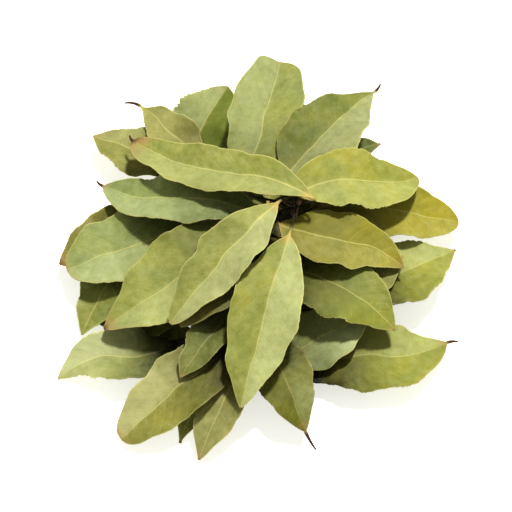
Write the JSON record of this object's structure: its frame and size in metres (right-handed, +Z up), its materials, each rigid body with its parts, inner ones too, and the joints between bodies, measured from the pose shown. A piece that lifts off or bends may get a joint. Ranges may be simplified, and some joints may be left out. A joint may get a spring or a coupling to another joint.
{
  "type": "bay leaf sprig",
  "caption": "Cut sprig of dried bay leaves: pointed, wavy leaves in overlapping layers on a short forked woody twig, lying down as a low mound.",
  "frame": {"origin": "middle of the footprint, on the surface that the sprig lies on", "axes": "+Z up from that surface; +Y from the sprig's front, where the leaves hang lowest, towards the twig's cut end; +X to the right"},
  "size_m": [0.176, 0.1898, 0.0472],
  "materials": {
    "bark": "rough dark brown bark",
    "leaf_green": "dry, matt, soft green leaf",
    "leaf_yellow": "dry, matt, yellow-green leaf",
    "leaf_olive": "dry, matt, olive leaf",
    "leaf_grey": "dry, matt, grey-green leaf"
  },
  "bodies": {
    "root": {"twig": "bark", "leaf_front_left_low": "leaf_green", "leaf_centre_left": "leaf_green", "leaf_heart_left": "leaf_olive", "leaf_heart_back": "leaf_olive", "leaf_left_fill": "leaf_grey", "leaf_back_fill": "leaf_olive", "leaf_back_low": "leaf_green", "leaf_back_low_left": "leaf_yellow", "leaf_right_fill": "leaf_olive", "leaf_low_left_fill": "leaf_olive", "leaf_front_tip": "leaf_green", "leaf_back_tip": "leaf_green", "leaf_front_fill": "leaf_olive", "leaf_inner_low": "leaf_olive", "leaf_centre_back": "leaf_green", "leaf_centre_front": "leaf_olive", "leaf_centre_right": "leaf_olive", "leaf_rim_low": "leaf_green", "leaf_rim_front": "leaf_olive", "leaf_rim_left": "leaf_olive", "leaf_low_left": "leaf_green", "leaf_low_right": "leaf_yellow", "leaf_under_right": "leaf_grey", "leaf_back_left": "leaf_yellow", "leaf_left_back": "leaf_olive", "leaf_left_dark_hook": "leaf_olive", "leaf_low_front": "leaf_yellow", "leaf_low_front_left": "leaf_olive", "leaf_right": "leaf_yellow", "leaf_right_back": "leaf_yellow", "leaf_inner_right": "leaf_olive", "leaf_small_curled": "leaf_green", "leaf_inner_back": "leaf_green", "leaf_mid_left": "leaf_grey", "leaf_mid_front_left": "leaf_yellow", "leaf_inner_front": "leaf_olive", "leaf_mid_right": "leaf_green", "leaf_back": "leaf_grey", "leaf_back_right": "leaf_green", "leaf_crown_left": "leaf_grey", "leaf_crown_right": "leaf_olive", "leaf_crown_right_back": "leaf_yellow", "leaf_crown_front": "leaf_yellow", "leaf_crown_front_left": "leaf_green", "leaf_crown_left_back": "leaf_green"}
  },
  "joints": []
}
